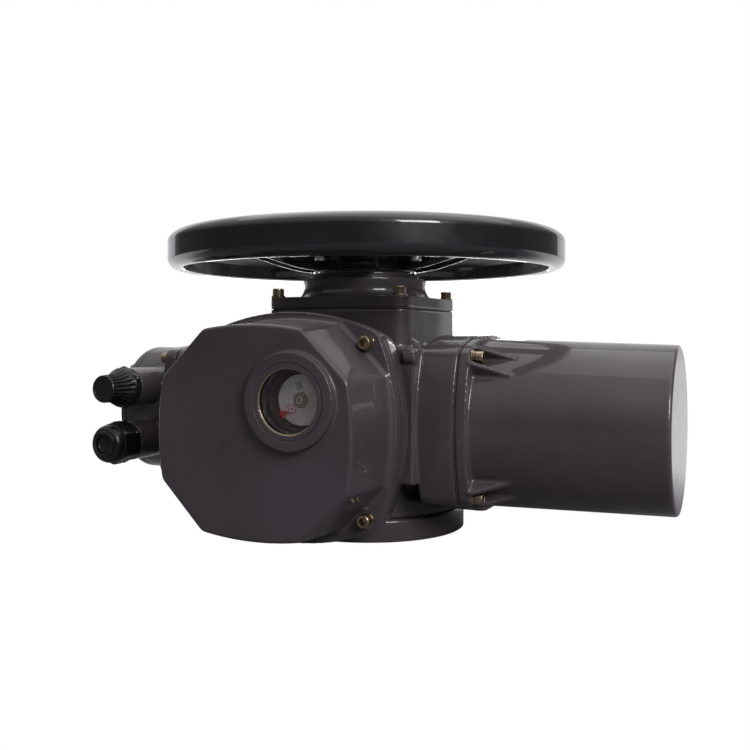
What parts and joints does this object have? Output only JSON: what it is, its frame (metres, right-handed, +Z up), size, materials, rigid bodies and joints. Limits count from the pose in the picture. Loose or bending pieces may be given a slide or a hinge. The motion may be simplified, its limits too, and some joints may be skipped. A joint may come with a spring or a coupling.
{
  "type": "motorized valve actuator",
  "caption": "Multi-turn electric valve actuator: worm-geared casting with valve flange, motor barrel, windowed electrical cover, cable glands and a handwheel on top.",
  "frame": {"origin": "centre of the valve flange's bottom face, on the output axis", "axes": "+Z up along the output and handwheel axis, +X along the motor, -Y towards the windowed electrical cover"},
  "size_m": [0.4828, 0.379, 0.2569],
  "materials": {
    "cover_paint": "satin enamel over a casting",
    "body_paint": "satin enamel over a casting",
    "wheel_paint": "glossy black enamel",
    "zinc": "turned and zinc plated",
    "screw_steel": "yellow zinc plated",
    "machined_steel": "machined",
    "bronze": "machined bronze",
    "seal_rubber": "matt",
    "gland_plastic": "moulded polyamide",
    "dial_plastic": "printed dial",
    "sight_glass": "polished",
    "laminated_steel": "stacked sheets",
    "copper_winding": "varnished copper",
    "cast_aluminium": "die cast, machined seats",
    "board_laminate": "circuit board"
  },
  "bodies": {
    "housing": {"base_screws": "screw_steel", "control_board": "board_laminate", "control_plate": "machined_steel", "cover_gasket": "seal_rubber", "cover_screws": "screw_steel", "electrical_cover": "cover_paint", "flat_washers": "screw_steel", "gland_inserts": "seal_rubber", "gland_seals": "seal_rubber", "limit_switches": "gland_plastic", "lower_gland_body": "gland_plastic", "lower_gland_nut": "gland_plastic", "lower_gland_plug": "gland_plastic", "main_housing": "body_paint", "motor_bearings": "machined_steel", "motor_end_shield": "cast_aluminium", "motor_gasket": "seal_rubber", "motor_housing": "body_paint", "motor_screws": "screw_steel", "mounting_base": "body_paint", "output_seal": "seal_rubber", "position_counter": "gland_plastic", "stator_core": "laminated_steel", "stator_windings": "copper_winding", "terminal_block": "gland_plastic", "terminal_clamp_screws": "screw_steel", "terminal_cover": "body_paint", "terminal_cover_screws": "screw_steel", "terminal_gasket": "seal_rubber", "terminal_housing": "body_paint", "terminal_screws": "screw_steel", "thrust_bearing": "machined_steel", "top_cover": "body_paint", "top_gasket": "seal_rubber", "top_screws": "screw_steel", "upper_bearing": "machined_steel", "upper_gland_body": "gland_plastic", "upper_gland_cap": "gland_plastic", "window_glass": "sight_glass", "window_ring": "machined_steel", "window_seal": "seal_rubber", "worm_bearings": "machined_steel"},
    "output": {"drive_sleeve": "machined_steel", "stem_nut": "bronze", "worm_wheel": "bronze"},
    "worm": {"worm_shaft": "machined_steel", "worm_shaft_gear": "machined_steel"},
    "rotor": {"rotor_core": "laminated_steel", "rotor_shaft": "machined_steel", "motor_pinion": "machined_steel"},
    "clutch": {"clutch_ring": "machined_steel"},
    "hand_wheel": {"handwheel": "wheel_paint", "clutch_cup": "zinc", "handwheel_bush": "bronze", "hub_plate": "zinc", "hub_screws": "zinc", "stem_cap": "gland_plastic"},
    "dial": {"dial_shaft": "machined_steel", "position_dial": "dial_plastic", "dial_screw": "screw_steel"}
  },
  "joints": [
    {"name": "motor_spin", "type": "hinge", "parent": "housing", "child": "rotor", "pos_m": [0.2, -0.0215, 0.0965], "axis": [1, 0, 0], "continuous": true},
    {"name": "worm_spin", "type": "hinge", "parent": "housing", "child": "worm", "pos_m": [0, -0.056, 0.0965], "axis": [1, 0, 0], "continuous": true},
    {"name": "output_spin", "type": "hinge", "parent": "housing", "child": "output", "pos_m": [0, 0, 0.0965], "axis": [0, 0, 1], "continuous": true},
    {"name": "handwheel_spin", "type": "hinge", "parent": "housing", "child": "hand_wheel", "pos_m": [0, 0, 0.2413], "axis": [0, 0, 1], "continuous": true},
    {"name": "clutch_slide", "type": "slide", "parent": "output", "child": "clutch", "axis": [0, 0, 1], "range_m": [0, 0.008]},
    {"name": "dial_spin", "type": "hinge", "parent": "housing", "child": "dial", "pos_m": [0.0338, -0.1805, 0.1212], "axis": [0, -1, 0], "continuous": true}
  ],
  "couplings": [
    {"joint": "worm_spin", "follows": "motor_spin", "ratio": -0.53333},
    {"joint": "output_spin", "follows": "motor_spin", "ratio": 0.012403},
    {"joint": "dial_spin", "follows": "motor_spin", "ratio": 0.00062015}
  ]
}
